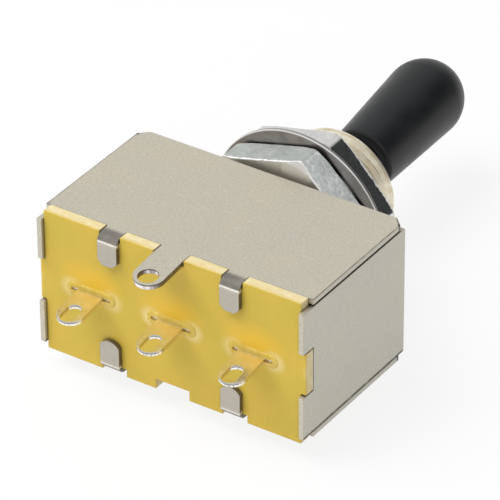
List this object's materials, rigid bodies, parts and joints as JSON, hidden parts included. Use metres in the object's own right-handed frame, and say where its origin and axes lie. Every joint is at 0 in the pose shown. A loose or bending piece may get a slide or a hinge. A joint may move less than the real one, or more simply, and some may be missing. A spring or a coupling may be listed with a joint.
{
  "type": "panel toggle switch",
  "caption": "Closed, folded steel switch case with solder terminals behind and a threaded bushing in front, worked by a tapered lever that slides a contact carriage.",
  "frame": {"origin": "on the bushing's axis, 0.1 mm in front of the upper nut, where the free thread starts", "axes": "+Y out along the bushing's axis towards the lever, +X along the long side of the case, +Z towards the wall with the solder lug"},
  "size_m": [0.029, 0.0544, 0.0188],
  "materials": {
    "case_steel": "dull plated sheet steel",
    "laminate": "semi-matt paper laminate",
    "terminal_metal": "plated, tarnished",
    "resin": "glossy resin",
    "moulding": "moulded phenolic",
    "spring_metal": "rolled spring bronze",
    "bushing_brass": "plated brass, worn at the thread",
    "nut_steel": "bright plated",
    "lever_steel": "bright",
    "tip_plastic": "satin black plastic",
    "nylon": "natural nylon"
  },
  "bodies": {
    "housing": {"case": "case_steel", "terminal_board": "laminate", "terminal_left": "terminal_metal", "terminal_common": "terminal_metal", "terminal_right": "terminal_metal", "seal_left": "resin", "seal_common": "resin", "seal_right": "resin", "guide_frame": "moulding", "detent_spring": "spring_metal", "bushing": "bushing_brass", "retaining_sleeve": "bushing_brass", "lower_nut": "nut_steel", "washer": "nut_steel", "upper_nut": "nut_steel"},
    "toggle": {"lever": "lever_steel", "lever_tip": "tip_plastic", "pivot_pin": "lever_steel"},
    "slider": {"carriage": "nylon", "contact_bridge": "spring_metal", "contact_spring_left": "lever_steel", "contact_spring_right": "lever_steel"}
  },
  "joints": [
    {"name": "lever_swing", "type": "hinge", "parent": "housing", "child": "toggle", "pos_m": [0, 0.00045, 0], "axis": [0, 0, 1], "range_deg": [-16.3, 7.7]},
    {"name": "carriage_slide", "type": "slide", "parent": "housing", "child": "slider", "axis": [1, 0, 0], "range_m": [-0.00387, 0.00185], "deforming": ["detent_spring"]}
  ],
  "couplings": [
    {"joint": "carriage_slide", "follows": "lever_swing", "m_per_rad": 0.0134}
  ]
}
